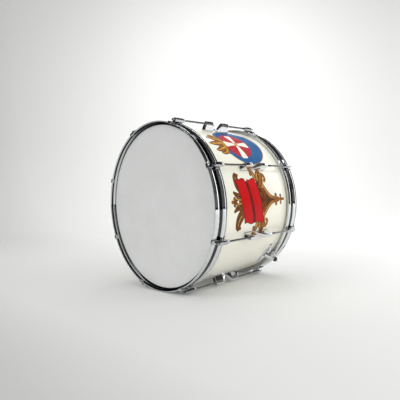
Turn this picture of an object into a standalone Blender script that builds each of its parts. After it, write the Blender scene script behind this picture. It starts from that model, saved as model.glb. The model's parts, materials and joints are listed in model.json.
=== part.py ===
# Bass drum lying on its two counter hoops. Metres, +Z up.
# The drum's axis runs along Y at hoop height and the batter head faces -Y.
# Rings are faceted: every radius here is measured to the middle of a facet, and one
# facet lies flat on the ground, so the drum rests without rolling.
import math

import bmesh
import bpy
from mathutils import Matrix, Vector

# Driving dimensions
SHELL_RADIUS = 0.2540       # 20 inch shell
SHELL_WALL = 0.0075
SHELL_DEPTH = 0.3560        # 14 inches between the bearing edges
DRUM_LENGTH = 0.3890        # over both counter hoops
HOOP_RADIUS = 0.2650
HOOP_WIDTH = 0.0475
SHEET = 0.0020              # pressed steel of the counter hoops
GROOVE_DEPTH = 0.0045       # channel pressed into a counter hoop
FILM = 0.0005
COLLAR_DEPTH = 0.0180       # from the head's face down to its mounting flange
FLESH_HOOP_HEIGHT = 0.0095
RING_WALL = 0.0077          # reinforcement ring inside the shell
RING_WIDTH = 0.0375
ROD_CIRCLE = 0.2748
ROD_RADIUS = 0.0030
ROD_INNER_END = 0.0300      # from the drum's middle plane
ROD_SEAT = 0.1788           # where a rod's flange bears on its claw
LUG_HALF_LENGTH = 0.0545
LUG_WIDTH = 0.0170
LUG_CROWN = 0.2832
CLAW_WIDTH = 0.0140
CLAW_CROWN = 0.2815
CLAW_LIP = 0.0021
SPUR_ANGLE = 135            # degrees from the top, on both sides
SPUR_TILT = 45              # degrees between the leg and the drum's axis
SPUR_FOOT_MIDDLE = 0.1220   # from the drum's middle plane
SPUR_FOOT_HEIGHT = 0.0040   # above the shell
BARREL_RADIUS = 0.0100
SLEEVE_RADIUS = 0.0080
LEG_RADIUS = 0.0050
LEG_INSIDE = 0.1900         # leg held inside the drum when it is pushed home
SCREW_RADIUS = 0.0030
SCREW_STATION = 0.0141      # along the leg, from where its axis meets the foot
WING_SPAN = 0.0260
WING_THICKNESS = 0.0030
VENT_ANGLE = 270
VENT_BORE = 0.0045
VENT_WALL = 0.0015
BEARING_LIP = 0.0015        # chamfer outside a bearing edge
BEARING_BEVEL = 0.0040      # bevel inside it
BORE_GAP = 0.0004           # round a rod in its lug
TENSION_POINTS = 8
FACETS = 64                 # round the drum
GAP = 0.0003                # between pieces that touch
WELD = 0.00001

STEP_ANGLE = 360 / TENSION_POINTS
EDGE = DRUM_LENGTH / 2
BEARING = SHELL_DEPTH / 2
FACE = BEARING + GAP + FILM
FLANGE_TOP = FACE - COLLAR_DEPTH
HOOP_INNER = HOOP_RADIUS - SHEET
CENTRE = Vector((0, 0, HOOP_RADIUS))
AXIAL = Vector((0, 1, 0))
SIDES = {"front": -1, "rear": 1}
HANDS = {"right": 1, "left": -1}


def outward(angle):
    turn = math.radians(angle)
    return Vector((math.sin(turn), 0, math.cos(turn)))


def drum_point(angle, radius, along):
    return CENTRE + outward(angle) * radius + AXIAL * along


def frame_matrix(origin, z_axis, x_axis):
    y_axis = z_axis.cross(x_axis)
    rotation = Matrix((x_axis, y_axis, z_axis)).transposed()
    return Matrix.Translation(origin) @ rotation.to_4x4()


def side_matrix(angle, side):
    """Local X runs from the middle plane to the given side, Y outward and Z across."""
    along = AXIAL * side
    return frame_matrix(CENTRE, along.cross(outward(angle)), along)


def new_collection(name):
    collection = bpy.data.collections.new(name)
    bpy.context.scene.collection.children.link(collection)
    return collection


def new_object(name, mesh, collection, matrix=Matrix()):
    obj = bpy.data.objects.new(name, mesh)
    collection.objects.link(obj)
    obj.matrix_world = matrix
    return obj


def principled(name, color, roughness, metallic):
    material = bpy.data.materials.new(name)
    material.use_nodes = True
    shader = material.node_tree.nodes["Principled BSDF"]
    shader.inputs["Base Color"].default_value = (*color, 1)
    shader.inputs["Roughness"].default_value = roughness
    shader.inputs["Metallic"].default_value = metallic
    return material


def finish_piece(obj, material):
    obj.data.materials.clear()
    obj.data.materials.append(material)
    obj.data.shade_smooth()
    obj.data.set_sharp_from_angle(angle=math.radians(30))
    return obj


def turned(name, profile, segments, collection, matrix=Matrix()):
    """Profile of (radius, height) points turned about local Z."""
    on_axis = profile[0][0] == 0
    across_flats = math.cos(math.pi / segments)
    shape = bmesh.new()
    points = [shape.verts.new((radius / across_flats, 0, height)) for radius, height in profile]
    ends = points[1:] if on_axis else points[1:] + points[:1]
    for start, end in zip(points, ends):
        shape.edges.new((start, end))
    half_facet = Matrix.Rotation(math.pi / segments, 4, "Z")
    bmesh.ops.transform(shape, matrix=half_facet, verts=shape.verts)
    mesh = bpy.data.meshes.new(name)
    shape.to_mesh(mesh)
    shape.free()
    obj = new_object(name, mesh, collection, matrix)
    screw = obj.modifiers.new("turn", "SCREW")
    screw.steps = segments
    screw.render_steps = segments
    screw.use_merge_vertices = True
    screw.merge_threshold = WELD
    return obj


def cylinder(name, radius, start, end, segments, collection, matrix=Matrix()):
    """Cylinder along local Z from start to end."""
    profile = [(0, end), (radius, end), (radius, start), (0, start)]
    return turned(name, profile, segments, collection, matrix)


def box(name, low, high, collection, matrix=Matrix()):
    shape = bmesh.new()
    bmesh.ops.create_cube(shape, size=1)
    size = [top - bottom for bottom, top in zip(low, high)]
    middle = [(top + bottom) / 2 for bottom, top in zip(low, high)]
    bmesh.ops.scale(shape, vec=size, verts=shape.verts)
    bmesh.ops.translate(shape, vec=middle, verts=shape.verts)
    mesh = bpy.data.meshes.new(name)
    shape.to_mesh(mesh)
    shape.free()
    return new_object(name, mesh, collection, matrix)


def baked_mesh(obj):
    """The object's evaluated mesh, welded. The object and its cutters are removed."""
    graph = bpy.context.evaluated_depsgraph_get()
    mesh = bpy.data.meshes.new_from_object(obj.evaluated_get(graph))
    shape = bmesh.new()
    shape.from_mesh(mesh)
    bmesh.ops.remove_doubles(shape, verts=shape.verts, dist=WELD)
    shape.to_mesh(mesh)
    shape.free()
    for modifier in obj.modifiers:
        if modifier.type == "BOOLEAN":
            bpy.data.objects.remove(modifier.object)
    bpy.data.objects.remove(obj)
    return mesh


def plate(name, outline, thickness, collection):
    """Flat outline in local XY with its thickness centred on local Z."""
    curve = bpy.data.curves.new(name, "CURVE")
    curve.dimensions = "2D"
    curve.fill_mode = "BOTH"
    curve.extrude = thickness / 2
    spline = curve.splines.new("POLY")
    spline.points.add(len(outline) - 1)
    for point, (x, y) in zip(spline.points, outline):
        point.co = (x, y, 0, 1)
    spline.use_cyclic_u = True
    return new_object(name, baked_mesh(new_object(name, curve, collection)), collection)


def combine(obj, other, operation):
    other.display_type = "WIRE"
    other.hide_render = True
    modifier = obj.modifiers.new(operation.lower(), "BOOLEAN")
    modifier.operation = operation
    modifier.solver = "EXACT"
    modifier.object = other


def make_shell(parts, cutters, material):
    inner = SHELL_RADIUS - SHELL_WALL
    profile = [
        (inner + BEARING_BEVEL, BEARING),
        (SHELL_RADIUS - BEARING_LIP, BEARING),
        (SHELL_RADIUS, BEARING - BEARING_LIP),
        (SHELL_RADIUS, BEARING_LIP - BEARING),
        (SHELL_RADIUS - BEARING_LIP, -BEARING),
        (inner + BEARING_BEVEL, -BEARING),
        (inner, BEARING_BEVEL - BEARING),
        (inner, BEARING - BEARING_BEVEL),
    ]
    shell = turned("shell", profile, FACETS, parts, side_axis(1))
    for name, hand in HANDS.items():
        hole = cylinder("leg_hole_" + name, LEG_RADIUS + 0.002, -0.040, 0.010, 16, cutters,
                        leg_matrix(hand))
        combine(shell, hole, "DIFFERENCE")
    hole = cylinder("vent_hole", VENT_BORE + VENT_WALL + GAP, SHELL_RADIUS - 0.02,
                    SHELL_RADIUS + 0.02, 16, cutters, vent_matrix())
    combine(shell, hole, "DIFFERENCE")
    finish_piece(shell, material)


def side_axis(side):
    """Local Z runs along the drum's axis to the given side, from the drum's centre."""
    return frame_matrix(CENTRE, AXIAL * side, Vector((1, 0, 0)))


def make_reinforcement_ring(name, side, parts, material):
    outer = SHELL_RADIUS - SHELL_WALL - GAP
    top = BEARING - 0.0045
    profile = [
        (outer, top),
        (outer, top - RING_WIDTH),
        (outer - RING_WALL, top - RING_WIDTH),
        (outer - RING_WALL, top),
    ]
    finish_piece(turned(name, profile, FACETS, parts, side_axis(side)), material)


def make_head(name, side, parts, material):
    inner = SHELL_RADIUS + 0.0004
    outer = inner + FILM
    rounding = 0.0015
    profile = [
        (0, FACE),
        (outer - rounding, FACE),
        (outer, FACE - rounding),
        (outer, FLANGE_TOP),
        (HOOP_INNER - 0.0008, FLANGE_TOP),
        (HOOP_INNER - 0.0008, FLANGE_TOP - FILM),
        (inner, FLANGE_TOP - FILM),
        (inner, FACE - FILM - rounding + 0.0003),
        (inner - rounding + 0.0003, FACE - FILM),
        (0, FACE - FILM),
    ]
    finish_piece(turned(name, profile, FACETS, parts, side_axis(side)), material)


def make_flesh_hoop(name, side, parts, material):
    outer = HOOP_INNER - 0.0008
    inner = SHELL_RADIUS + 0.0013
    top = FLANGE_TOP - FILM - GAP
    profile = [
        (outer, top),
        (outer, top - FLESH_HOOP_HEIGHT),
        (inner, top - FLESH_HOOP_HEIGHT),
        (inner, top),
    ]
    finish_piece(turned(name, profile, FACETS, parts, side_axis(side)), material)


def make_counter_hoop(name, side, parts, material):
    """Pressed hoop: two beads with a channel between them that bears on the head's flange."""
    groove = HOOP_RADIUS - GROOVE_DEPTH
    outside = [(HOOP_RADIUS, 0), (HOOP_RADIUS, 0.0170), (groove, 0.0210),
               (groove, 0.0295), (HOOP_RADIUS, 0.0330), (HOOP_RADIUS, HOOP_WIDTH)]
    inside = [(HOOP_INNER, HOOP_WIDTH), (HOOP_INNER, 0.0340), (groove - SHEET, 0.0305),
              (groove - SHEET, 0.0201), (HOOP_INNER, 0.0161), (HOOP_INNER, 0)]
    profile = [(radius, EDGE - behind) for radius, behind in outside + inside]
    finish_piece(turned(name, profile, FACETS, parts, side_axis(side)), material)


def shape_lug(mesh, waist, shoulder):
    """Narrows the lug to 0.6 of its width at the waist and to 0.7 at its crowns."""
    shape = bmesh.new()
    shape.from_mesh(mesh)
    for cut in (-shoulder, -waist, waist, shoulder):
        everything = shape.verts[:] + shape.edges[:] + shape.faces[:]
        bmesh.ops.bisect_plane(shape, geom=everything, plane_co=(cut, 0, 0), plane_no=(1, 0, 0))
    for vertex in shape.verts:
        if abs(vertex.co.x) < waist + WELD:
            vertex.co.z *= 0.6
        elif vertex.co.y > LUG_CROWN - 0.0045:
            vertex.co.z *= 0.7
    bmesh.ops.triangulate(shape, faces=shape.faces)
    shape.to_mesh(mesh)
    shape.free()


def lug_mesh(parts, cutters):
    """Two towers with a valley between them, drawn in at the waist."""
    foot = SHELL_RADIUS + GAP
    end = LUG_HALF_LENGTH
    waist = 0.0060
    shoulder = 0.0180
    half = [
        (end, foot),
        (end, foot + 0.0035),
        (end - 0.0020, LUG_CROWN - 0.0040),
        (end - 0.0055, LUG_CROWN),
        (shoulder + 0.0040, LUG_CROWN),
        (shoulder, LUG_CROWN - 0.0025),
        (waist, foot + 0.0085),
    ]
    outline = half + [(-x, y) for x, y in reversed(half)]
    lug = plate("lug", outline, LUG_WIDTH, parts)
    shape_lug(lug.data, waist, shoulder)
    for side in (-1, 1):
        along = Vector((side, 0, 0))
        origin = Vector((0, ROD_CIRCLE, 0))
        bore = cylinder("rod_bore", ROD_RADIUS + BORE_GAP, ROD_INNER_END - 0.002,
                        end + 0.01, 12, cutters, frame_matrix(origin, along, Vector((0, 1, 0))))
        combine(lug, bore, "DIFFERENCE")
    return baked_mesh(lug)


def claw_mesh(parts, cutters):
    """Hooks over the hoop's front edge and carries the rod in a raised boss."""
    under = HOOP_RADIUS + GAP
    inner_face = HOOP_INNER - GAP
    tip = inner_face - 0.0020
    seat = EDGE - ROD_SEAT
    outline = [
        (0.0080, inner_face),
        (0.0080, tip),
        (-GAP - CLAW_LIP, tip),
        (-GAP - CLAW_LIP, under + 0.0015),
        (-0.0005, under + 0.0033),
        (seat, under + 0.0039),
        (seat, CLAW_CROWN - 0.0015),
        (seat + 0.0025, CLAW_CROWN),
        (0.0420, CLAW_CROWN),
        (0.0550, CLAW_CROWN - 0.0030),
        (0.0550, ROD_CIRCLE - 0.0043),
        (0.0460, under),
        (-GAP, under),
        (-GAP, inner_face),
    ]
    claw = plate("claw", [(EDGE - behind, radius) for behind, radius in outline], CLAW_WIDTH, parts)
    origin = Vector((0, ROD_CIRCLE, 0))
    bore = cylinder("rod_bore", ROD_RADIUS + GAP, EDGE - 0.070, EDGE, 12, cutters,
                    frame_matrix(origin, Vector((1, 0, 0)), Vector((0, 1, 0))))
    combine(claw, bore, "DIFFERENCE")
    return baked_mesh(claw)


def rod_mesh(parts, cutters):
    """Square-headed rod along local Z. Its origin is on its axis, at the flange's seat."""
    flange = 0.0018
    head_half = 0.00315
    head_top = 0.0080
    inner_end = ROD_INNER_END - ROD_SEAT
    profile = [
        (0, flange + GAP),
        (0.0050, flange + GAP),
        (0.0050, GAP),
        (ROD_RADIUS, GAP),
        (ROD_RADIUS, inner_end + 0.0010),
        (ROD_RADIUS - 0.0010, inner_end),
        (0, inner_end),
    ]
    rod = turned("rod", profile, 12, parts)
    head = box("rod_head", (-head_half, -head_half, flange - 0.0005),
               (head_half, head_half, head_top), cutters)
    combine(rod, head, "UNION")
    return baked_mesh(rod)


def make_tension_sets(parts, cutters, material):
    lug = lug_mesh(parts, cutters)
    claw = claw_mesh(parts, cutters)
    rod = rod_mesh(parts, cutters)
    for number in range(1, TENSION_POINTS + 1):
        angle = (number - 0.5) * STEP_ANGLE
        finish_piece(new_object(f"lug_{number}", lug, parts, side_matrix(angle, 1)), material)
        for name, side in SIDES.items():
            label = f"{name}_{number}"
            finish_piece(new_object("claw_" + label, claw, parts, side_matrix(angle, side)), material)
            origin = drum_point(angle, ROD_CIRCLE, side * ROD_SEAT)
            matrix = frame_matrix(origin, AXIAL * side, outward(angle))
            finish_piece(new_object("rod_" + label, rod, parts, matrix), material)


def spur_point(hand, along, radius):
    return drum_point(hand * SPUR_ANGLE, radius, along)


def spur_across(hand):
    """Across the spur's foot, towards the top of the drum."""
    return AXIAL.cross(outward(hand * SPUR_ANGLE)) * -hand


def leg_matrix(hand):
    """Local Z points out along the leg from its axis's crossing of the foot."""
    tilt = math.radians(SPUR_TILT)
    direction = AXIAL * math.cos(tilt) + outward(hand * SPUR_ANGLE) * math.sin(tilt)
    origin = spur_point(hand, SPUR_FOOT_MIDDLE - 0.004, SHELL_RADIUS + 0.008)
    return frame_matrix(origin, direction, spur_across(hand))


def screw_matrix(hand):
    """Local Z runs across the spur from the leg's axis, and X along the drum."""
    origin = leg_matrix(hand) @ Vector((0, 0, SCREW_STATION))
    return frame_matrix(origin, spur_across(hand), AXIAL)


def spur_foot(name, hand, parts, cutters):
    """Curved plate that follows the shell, with an ear at each end for its fixing screw."""
    half = [(0.020, 0), (0.020, 0.014), (0.004, 0.025), (0.002, 0.040), (-0.002, 0.044),
            (-0.010, 0.044), (-0.014, 0.040), (-0.016, 0.025), (-0.021, 0.014), (-0.021, 0)]
    outline = half[1:-1] + [(x, -y) for x, y in reversed(half[1:-1])]
    top = SHELL_RADIUS + SPUR_FOOT_HEIGHT
    foot = plate(name, outline, 0.030, parts)
    out = outward(hand * SPUR_ANGLE)
    foot.matrix_world = frame_matrix(spur_point(hand, SPUR_FOOT_MIDDLE, top), out, AXIAL)
    profile = [(top, BEARING), (top, 0), (SHELL_RADIUS + GAP, 0), (SHELL_RADIUS + GAP, BEARING)]
    combine(foot, turned("skin_" + name, profile, FACETS, cutters, side_axis(1)), "INTERSECT")
    return foot


def make_spur_bracket(name, hand, parts, cutters, material):
    """Cast foot on the shell with a slanted barrel for the leg and a boss for its screw."""
    foot = spur_foot(name, hand, parts, cutters)
    leg_frame = leg_matrix(hand)
    screw_frame = screw_matrix(hand)
    label = "_" + name
    barrel = cylinder("barrel" + label, BARREL_RADIUS, -0.010, 0.024, 20, cutters, leg_frame)
    combine(foot, barrel, "UNION")
    boss = cylinder("boss" + label, 0.0070, 0, 0.0175, 16, cutters, screw_frame)
    combine(foot, boss, "UNION")
    core = cylinder("shell_core" + label, SHELL_RADIUS + GAP, -BEARING, BEARING, FACETS, cutters,
                    side_axis(1))
    combine(foot, core, "DIFFERENCE")
    leg_bore = cylinder("leg_bore" + label, LEG_RADIUS + GAP, -0.040, 0.040, 16, cutters, leg_frame)
    combine(foot, leg_bore, "DIFFERENCE")
    screw_bore = cylinder("screw_bore" + label, SCREW_RADIUS + GAP, 0, 0.030, 12, cutters,
                          screw_frame)
    combine(foot, screw_bore, "DIFFERENCE")
    finish_piece(foot, material)


def make_spur_leg(name, hand, parts, material):
    """Steel leg with a stop collar inside the drum and a pointed end outside it."""
    collar = LEG_RADIUS + 0.0015
    profile = [
        (0, 0.0450),
        (0.0012, 0.0450),
        (LEG_RADIUS, 0.0370),
        (LEG_RADIUS, 0.0040 - LEG_INSIDE),
        (collar, 0.0040 - LEG_INSIDE),
        (collar, -LEG_INSIDE),
        (0, -LEG_INSIDE),
    ]
    finish_piece(turned(name, profile, 16, parts, leg_matrix(hand)), material)


def make_spur_tip(name, hand, parts, material):
    """Rubber sleeve round the outer end of the leg."""
    inner = LEG_RADIUS + GAP
    profile = [
        (inner, 0.0355),
        (SLEEVE_RADIUS - 0.001, 0.0355),
        (SLEEVE_RADIUS, 0.0345),
        (SLEEVE_RADIUS, 0.0255),
        (inner, 0.0255),
    ]
    finish_piece(turned(name, profile, 20, parts, leg_matrix(hand)), material)


def make_wing_screw(name, hand, parts, cutters, material):
    collar = 0.0055
    profile = [
        (0, 0.0230),
        (collar, 0.0230),
        (collar, 0.0178),
        (SCREW_RADIUS, 0.0178),
        (SCREW_RADIUS, LEG_RADIUS + GAP),
        (0, LEG_RADIUS + GAP),
    ]
    screw_frame = screw_matrix(hand)
    screw = turned(name, profile, 16, parts, screw_frame)
    half_span = WING_SPAN / 2
    half_thickness = WING_THICKNESS / 2
    wings = box("wings_" + name, (-half_span, -half_thickness, 0.0205),
                (half_span, half_thickness, 0.0310), cutters, screw_frame)
    combine(screw, wings, "UNION")
    finish_piece(screw, material)


def vent_matrix():
    """Local Z points outward through the shell at the vent, from the drum's axis."""
    return frame_matrix(CENTRE, outward(VENT_ANGLE), AXIAL)


def make_air_vent(parts, material):
    """Flanged metal eyelet clamped through the shell."""
    tube = VENT_BORE + VENT_WALL
    outside = SHELL_RADIUS + GAP
    inside = SHELL_RADIUS - SHELL_WALL - GAP
    profile = [
        (VENT_BORE, outside + 0.0016),
        (0.0100, outside + 0.0016),
        (0.0112, outside),
        (tube, outside),
        (tube, inside),
        (0.0090, inside),
        (0.0085, inside - 0.0014),
        (VENT_BORE, inside - 0.0014),
    ]
    finish_piece(turned("air_vent", profile, 20, parts, vent_matrix()), material)


def build():
    for obj in list(bpy.data.objects):
        bpy.data.objects.remove(obj)
    parts = new_collection("bass_drum")
    cutters = new_collection("cutters")
    chrome = principled("chrome", (0.80, 0.81, 0.83), 0.08, 1.0)
    ivory = principled("ivory_wrap", (0.90, 0.90, 0.82), 0.18, 0.0)
    maple = principled("maple", (0.72, 0.55, 0.36), 0.45, 0.0)
    coated_film = principled("coated_film", (0.80, 0.80, 0.79), 0.55, 0.0)
    aluminium = principled("aluminium", (0.75, 0.76, 0.77), 0.35, 1.0)
    rubber = principled("rubber", (0.02, 0.02, 0.02), 0.75, 0.0)
    make_shell(parts, cutters, ivory)
    head_names = {"front": "batter_head", "rear": "resonant_head"}
    for name, side in SIDES.items():
        make_reinforcement_ring("reinforcement_ring_" + name, side, parts, maple)
        make_head(head_names[name], side, parts, coated_film)
        make_flesh_hoop("flesh_hoop_" + name, side, parts, aluminium)
        make_counter_hoop("counter_hoop_" + name, side, parts, chrome)
    make_tension_sets(parts, cutters, chrome)
    for name, hand in HANDS.items():
        make_spur_bracket("spur_bracket_" + name, hand, parts, cutters, chrome)
        make_spur_leg("spur_leg_" + name, hand, parts, chrome)
        make_spur_tip("spur_tip_" + name, hand, parts, rubber)
        make_wing_screw("spur_wing_screw_" + name, hand, parts, cutters, chrome)
    make_air_vent(parts, chrome)


build()
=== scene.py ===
import json
from math import atan2, copysign, cos, pi, radians, sin, tan

import bmesh
import bpy
from mathutils import Matrix, Vector


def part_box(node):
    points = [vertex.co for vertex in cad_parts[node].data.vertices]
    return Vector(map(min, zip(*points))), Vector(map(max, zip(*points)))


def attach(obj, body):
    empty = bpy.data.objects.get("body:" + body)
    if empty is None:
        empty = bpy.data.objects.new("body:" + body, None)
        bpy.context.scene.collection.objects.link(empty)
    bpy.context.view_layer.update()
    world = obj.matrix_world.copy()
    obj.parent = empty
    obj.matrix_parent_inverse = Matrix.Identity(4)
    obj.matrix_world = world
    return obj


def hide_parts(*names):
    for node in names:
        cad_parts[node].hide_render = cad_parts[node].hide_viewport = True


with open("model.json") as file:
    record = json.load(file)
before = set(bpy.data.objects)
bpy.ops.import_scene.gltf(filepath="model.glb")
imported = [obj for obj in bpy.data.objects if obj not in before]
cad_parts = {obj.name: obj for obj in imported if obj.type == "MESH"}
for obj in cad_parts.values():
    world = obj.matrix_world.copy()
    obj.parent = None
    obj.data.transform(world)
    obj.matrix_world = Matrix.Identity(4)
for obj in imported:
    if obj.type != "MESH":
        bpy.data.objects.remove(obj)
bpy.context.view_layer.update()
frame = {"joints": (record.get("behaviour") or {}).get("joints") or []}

mm = 0.001
yAxis = Vector((0, 1, 0))
sides = {"front": -1, "rear": 1}
hands = {"right": 1, "left": -1}

# the drum's own measures, read from the frame
shellLow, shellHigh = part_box("shell")
hoopLow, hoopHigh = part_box("counter_hoop_front")
drumCentre = (shellLow + shellHigh) / 2
shellRadius = (shellHigh.x - shellLow.x) / 2
shellHalf = (shellHigh.y - shellLow.y) / 2
hoopRadius = (hoopHigh.x - hoopLow.x) / 2
hoopEdge = -hoopLow.y
hoopWidth = hoopHigh.y - hoopLow.y
headFace = -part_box("batter_head")[0].y
joints = {joint["name"]: joint for joint in frame["joints"]}
firstRod = Vector(joints["rod_front_1_turn"]["pos_m"]) - drumCentre
rodCircle = Vector((firstRod.x, firstRod.z)).length


# small tools that the pieces share

def millimetres(value):
    return value / mm


def outward(angle):
    return Vector((sin(radians(angle)), 0, cos(radians(angle))))


def drumPoint(angle, radius, along):
    return drumCentre + outward(angle) * radius + yAxis * along


def frameAt(origin, zAxis, xAxis):
    yLocal = zAxis.cross(xAxis)
    return Matrix.Translation(origin) @ Matrix((xAxis, yLocal, zAxis)).transposed().to_4x4()


def ringFrame(side):
    # local Z runs along the drum to the given side
    return frameAt(drumCentre, yAxis * side, Vector((1, 0, 0)))


def sideFrame(angle, side):
    # local X runs to the given side, Y outward and Z across
    along = yAxis * side
    return frameAt(drumCentre, along.cross(outward(angle)), along)


def roundedPath(corners, closed=True, steps=4):
    # corners are (x, y, radius) in millimetres
    points = []
    for index, (x, y, radius) in enumerate(corners):
        corner = Vector((x, y)) * mm
        atEnd = not closed and index in (0, len(corners) - 1)
        if radius == 0 or atEnd:
            points.append(corner)
            continue
        before = Vector(corners[index - 1][:2]) * mm - corner
        after = Vector(corners[(index + 1) % len(corners)][:2]) * mm - corner
        reach = radius * mm / tan(before.angle(after) / 2)
        reach = min(reach, before.length * 0.49, after.length * 0.49)
        start = corner + before.normalized() * reach
        end = corner + after.normalized() * reach
        for step in range(steps + 1):
            t = step / steps
            points.append(start.lerp(corner, t).lerp(corner.lerp(end, t), t))
    return points


def cleanUp(bm):
    bmesh.ops.remove_doubles(bm, verts=bm.verts, dist=1e-6)
    bmesh.ops.recalc_face_normals(bm, faces=bm.faces)
    return bm


def turned(path, steps=32, closed=True):
    # path of (radius, height) turned about local Z
    bm = bmesh.new()
    verts = [bm.verts.new((point.x, 0, point.y)) for point in path]
    ends = verts[1:] + verts[:1] if closed else verts[1:]
    for start, end in zip(verts, ends):
        bm.edges.new((start, end))
    bmesh.ops.spin(bm, geom=bm.verts[:] + bm.edges[:], cent=(0, 0, 0), axis=(0, 0, 1),
                   angle=2 * pi, steps=steps, use_merge=True)
    return cleanUp(bm)


def cylinder(radius, low, high, steps=24):
    # about local Z, in millimetres
    path = [Vector((0, high)), Vector((radius, high)), Vector((radius, low)), Vector((0, low))]
    return turned([point * mm for point in path], steps, closed=False)


def roundBar(corners, steps=32):
    return turned(roundedPath(corners, False, 3), steps, closed=False)


def surface(rows):
    # rows of points made into one skin: edges that meet are welded and open ends are closed
    bm = bmesh.new()
    across = len(rows[0]) - 1
    along = len(rows) - 1
    bmesh.ops.create_grid(bm, x_segments=across, y_segments=along, size=1)
    for vert in bm.verts:
        column = round((vert.co.x + 1) / 2 * across)
        row = round((vert.co.y + 1) / 2 * along)
        vert.co = rows[row][column]
    bmesh.ops.remove_doubles(bm, verts=bm.verts, dist=1e-6)
    bmesh.ops.holes_fill(bm, edges=[edge for edge in bm.edges if edge.is_boundary])
    bmesh.ops.recalc_face_normals(bm, faces=bm.faces)
    return bm


def slab(path, thickness, bevel=0.0, segments=2):
    # flat outline in local XY, thickened along Z, with its rims rounded
    bm = bmesh.new()
    face = bm.faces.new([bm.verts.new((point.x, point.y, -thickness / 2)) for point in path])
    grown = bmesh.ops.extrude_face_region(bm, geom=[face])
    top = [item for item in grown["geom"] if isinstance(item, bmesh.types.BMVert)]
    bmesh.ops.translate(bm, vec=(0, 0, thickness), verts=top)
    bmesh.ops.recalc_face_normals(bm, faces=bm.faces)
    if bevel:
        rims = [edge for edge in bm.edges if abs(edge.verts[0].co.z - edge.verts[1].co.z) < 1e-7]
        bmesh.ops.bevel(bm, geom=rims, offset=bevel, segments=segments, profile=0.5,
                        affect="EDGES", material=-1)
    return cleanUp(bm)


def moved(bm, matrix):
    bmesh.ops.transform(bm, matrix=matrix, verts=bm.verts)
    return bm


def looseObject(bm):
    mesh = bpy.data.meshes.new("loose")
    bm.to_mesh(mesh)
    bm.free()
    obj = bpy.data.objects.new("loose", mesh)
    bpy.context.scene.collection.objects.link(obj)
    return obj


def carved(bm, changes):
    # changes are (operation, bmesh), applied in turn
    base = looseObject(bm)
    helpers = []
    for operation, other in changes:
        helper = looseObject(other)
        helpers.append(helper)
        modifier = base.modifiers.new("carve", "BOOLEAN")
        modifier.operation = operation
        modifier.solver = "EXACT"
        modifier.object = helper
    graph = bpy.context.evaluated_depsgraph_get()
    mesh = bpy.data.meshes.new_from_object(base.evaluated_get(graph))
    result = bmesh.new()
    result.from_mesh(mesh)
    for obj in [base] + helpers:
        bpy.data.objects.remove(obj)
    return cleanUp(result)


def makePiece(name, bm, material, body, nodes=(), sharp=35):
    mesh = bpy.data.meshes.new(name)
    bm.to_mesh(mesh)
    bm.free()
    mesh.materials.append(material)
    mesh.shade_smooth()
    mesh.set_sharp_from_angle(angle=radians(sharp))
    piece = bpy.data.objects.new(name, mesh)
    bpy.context.scene.collection.objects.link(piece)
    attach(piece, body)
    if nodes:
        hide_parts(*nodes)


def smoothstep(low, high, value):
    t = min(max((value - low) / (high - low), 0), 1)
    return t * t * (3 - 2 * t)


# finishes

noiseSpan = (0.3, 0.7)      # the part of a noise's range that holds nearly all of it


def newMaterial(name, color, roughness, metallic=0.0):
    material = bpy.data.materials.new(name)
    material.use_nodes = True
    shader = material.node_tree.nodes["Principled BSDF"]
    shader.inputs["Base Color"].default_value = (*color, 1)
    shader.inputs["Roughness"].default_value = roughness
    shader.inputs["Metallic"].default_value = metallic
    return material


def addNode(material, kind, **values):
    node = material.node_tree.nodes.new(kind)
    for key, value in values.items():
        if key in node.inputs:
            node.inputs[key].default_value = value
        else:
            setattr(node, key, value)
    return node


def link(material, output, target):
    material.node_tree.links.new(output, target)


def shaderOf(material):
    return material.node_tree.nodes["Principled BSDF"]


def noiseOn(material, scale, detail, roughness, stretch):
    place = addNode(material, "ShaderNodeTexCoord")
    mapping = addNode(material, "ShaderNodeMapping", Scale=stretch)
    noise = addNode(material, "ShaderNodeTexNoise", Scale=scale, Detail=detail, Roughness=roughness)
    link(material, place.outputs["Object"], mapping.inputs["Vector"])
    link(material, mapping.outputs["Vector"], noise.inputs["Vector"])
    return noise.outputs["Fac"]


def mixColors(material, factor, low, high):
    ramp = addNode(material, "ShaderNodeValToRGB")
    for element, position, color in zip(ramp.color_ramp.elements, noiseSpan, (low, high)):
        element.position = position
        element.color = (*color, 1)
    link(material, factor, ramp.inputs["Fac"])
    link(material, ramp.outputs["Color"], shaderOf(material).inputs["Base Color"])


def varyRoughness(material, factor, low, high):
    spread = addNode(material, "ShaderNodeMapRange")
    spread.inputs["From Min"].default_value = noiseSpan[0]
    spread.inputs["From Max"].default_value = noiseSpan[1]
    spread.inputs["To Min"].default_value = low
    spread.inputs["To Max"].default_value = high
    link(material, factor, spread.inputs["Value"])
    link(material, spread.outputs["Result"], shaderOf(material).inputs["Roughness"])


def addBump(material, factor, strength, distance):
    bump = addNode(material, "ShaderNodeBump", Strength=strength, Distance=distance)
    link(material, factor, bump.inputs["Height"])
    link(material, bump.outputs["Normal"], shaderOf(material).inputs["Normal"])


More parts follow.
